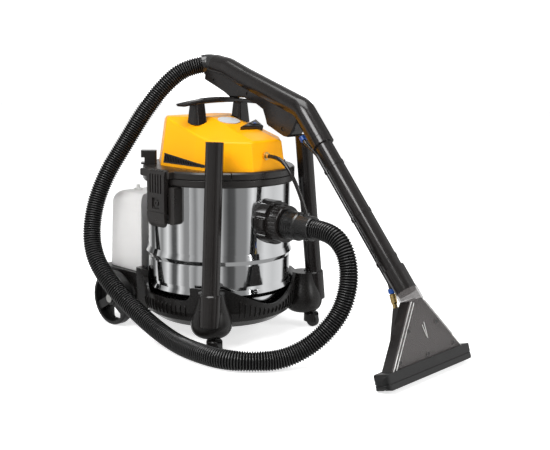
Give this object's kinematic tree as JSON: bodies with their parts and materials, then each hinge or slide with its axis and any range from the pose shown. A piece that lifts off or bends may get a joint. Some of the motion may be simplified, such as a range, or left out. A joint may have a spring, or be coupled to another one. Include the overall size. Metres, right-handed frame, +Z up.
{
  "type": "spot extractor",
  "caption": "Compact wheeled spot extractor: steel recovery tank, motor head, rear solution tank, suction hose and a spray wand with a fan-shaped upholstery tool.",
  "frame": {"origin": "on the floor, at the middle of the footprint of everything but the two hoses", "axes": "+Z up, -Y from the tank towards the hose inlet and the floor tool, +Y towards the solution tank"},
  "size_m": [0.4111, 0.76, 0.5762],
  "materials": {
    "base_black": "moulded satin black",
    "ring_black": "moulded satin black",
    "yellow": "moulded yellow",
    "tube_black": "moulded black, slight sheen",
    "hose_black": "corrugated vinyl, black",
    "rubber": "moulded rubber",
    "tyre": "moulded tyre",
    "steel": "mirror polished",
    "zinc": "zinc plated",
    "brass": "turned",
    "milky": "translucent polyethylene",
    "clear": "clear moulded window",
    "grey": "printed plate, left blank",
    "white": "moulded",
    "foam": "open foam",
    "motor": "cast"
  },
  "bodies": {
    "machine": {"base_dolly": "base_black", "brass_coupler": "brass", "carry_handle": "tube_black", "cord_hooks": "ring_black", "fan_housing": "motor", "float_cage": "white", "foam_filter": "foam", "hose_cuff": "hose_black", "inlet_deflector": "base_black", "inlet_flange": "tube_black", "label_plate": "grey", "latch_keepers": "ring_black", "lid_ring": "ring_black", "line_clips": "tube_black", "motor_cover": "yellow", "motor_housing": "zinc", "motor_plate": "base_black", "mouth_strip": "hose_black", "power_gland": "ring_black", "rear_axle": "zinc", "screws": "zinc", "solution_hose": "hose_black", "solution_line": "hose_black", "solution_pump": "base_black", "spray_hood": "tube_black", "spray_nozzle": "brass", "spray_valve": "brass", "steel_tank": "steel", "suction_hose": "hose_black", "switch_bezel": "ring_black", "tank_gasket": "rubber", "tank_rim_ring": "ring_black", "tool_body": "tube_black", "tool_sleeve": "tube_black", "tool_window": "clear", "trigger_pin": "zinc", "vent_grilles": "ring_black", "wand_cuff": "hose_black", "wand_handle_left": "tube_black", "wand_handle_right": "tube_black", "wand_tube": "tube_black"},
    "caster_fork_left": {"caster_fork_left": "base_black"},
    "caster_fork_right": {"caster_fork_right": "base_black"},
    "caster_wheel_left": {"caster_wheel_left": "rubber"},
    "caster_wheel_right": {"caster_wheel_right": "rubber"},
    "rear_wheel_left": {"rear_wheel_left": "tyre"},
    "rear_wheel_right": {"rear_wheel_right": "tyre"},
    "spare_tube_left": {"spare_tube_left": "tube_black"},
    "spare_tube_right": {"spare_tube_right": "tube_black"},
    "coupling_nut": {"coupling_nut": "tube_black"},
    "latch_left": {"latch_left": "ring_black"},
    "latch_right": {"latch_right": "ring_black"},
    "solution_tank": {"solution_tank": "milky", "pickup_tube": "white"},
    "solution_cap": {"solution_cap": "base_black"},
    "trigger": {"trigger": "tube_black"},
    "valve_stem": {"valve_stem": "zinc"},
    "switch_rocker": {"switch_rocker": "ring_black"},
    "motor_rotor": {"motor_rotor": "motor"},
    "float_ball": {"float_ball": "white"}
  },
  "joints": [
    {"name": "caster_swivel_left", "type": "hinge", "parent": "machine", "child": "caster_fork_left", "pos_m": [-0.14849, 0.00101, 0.03], "axis": [0, 0, 1], "continuous": true},
    {"name": "caster_swivel_right", "type": "hinge", "parent": "machine", "child": "caster_fork_right", "pos_m": [0.13751, 0.00101, 0.03], "axis": [0, 0, 1], "continuous": true},
    {"name": "caster_roll_left", "type": "hinge", "parent": "caster_fork_left", "child": "caster_wheel_left", "pos_m": [-0.14849, -0.006, 0.015], "axis": [1, 0, 0], "continuous": true},
    {"name": "caster_roll_right", "type": "hinge", "parent": "caster_fork_right", "child": "caster_wheel_right", "pos_m": [0.13751, -0.006, 0.015], "axis": [1, 0, 0], "continuous": true},
    {"name": "rear_roll_left", "type": "hinge", "parent": "machine", "child": "rear_wheel_left", "pos_m": [-0.15549, 0.307, 0.058], "axis": [1, 0, 0], "continuous": true},
    {"name": "rear_roll_right", "type": "hinge", "parent": "machine", "child": "rear_wheel_right", "pos_m": [0.14452, 0.307, 0.058], "axis": [1, 0, 0], "continuous": true},
    {"name": "spare_tube_lift_left", "type": "slide", "parent": "machine", "child": "spare_tube_left", "axis": [0.0826, 0.0498, 0.9953], "range_m": [0, 0.11]},
    {"name": "spare_tube_lift_right", "type": "slide", "parent": "machine", "child": "spare_tube_right", "axis": [-0.0826, 0.0498, 0.9953], "range_m": [0, 0.11]},
    {"name": "coupling_nut_turn", "type": "hinge", "parent": "machine", "child": "coupling_nut", "pos_m": [-0.00549, -0.047, 0.249], "axis": [0, -1, 0], "range_deg": [0, 45]},
    {"name": "latch_left_swing", "type": "hinge", "parent": "machine", "child": "latch_left", "pos_m": [-0.16648, 0.137, 0.346], "axis": [0, 1, 0], "range_deg": [0, 70]},
    {"name": "latch_right_swing", "type": "hinge", "parent": "machine", "child": "latch_right", "pos_m": [0.15551, 0.137, 0.346], "axis": [0, -1, 0], "range_deg": [0, 70]},
    {"name": "solution_tank_lift", "type": "slide", "parent": "machine", "child": "solution_tank", "axis": [0, 0.8, 0.6], "range_m": [0, 0.2]},
    {"name": "solution_cap_turn", "type": "hinge", "parent": "solution_tank", "child": "solution_cap", "pos_m": [0.06051, 0.332, 0.285], "axis": [0, 0, 1], "range_deg": [0, 540]},
    {"name": "trigger_squeeze", "type": "hinge", "parent": "machine", "child": "trigger", "pos_m": [0.04451, 0.07301, 0.485], "axis": [1, 0, 0], "range_deg": [-9, 0], "stiffness_Nm_per_rad": 0.5, "springref_deg": 11.46},
    {"name": "valve_stem_push", "type": "slide", "parent": "machine", "child": "valve_stem", "axis": [0, -1, 0], "range_m": [0, 0.0076]},
    {"name": "switch_rock", "type": "hinge", "parent": "machine", "child": "switch_rocker", "pos_m": [0.02551, 0.06547, 0.43482], "axis": [1, 0, 0], "range_deg": [-8, 8]},
    {"name": "motor_spin", "type": "hinge", "parent": "machine", "child": "motor_rotor", "pos_m": [-0.00549, 0.143, 0.384], "axis": [0, 0, 1], "continuous": true},
    {"name": "float_rise", "type": "slide", "parent": "machine", "child": "float_ball", "axis": [0, 0, 1], "range_m": [0, 0.03]}
  ],
  "couplings": [
    {"joint": "valve_stem_push", "follows": "trigger_squeeze", "m_per_rad": -0.046}
  ]
}
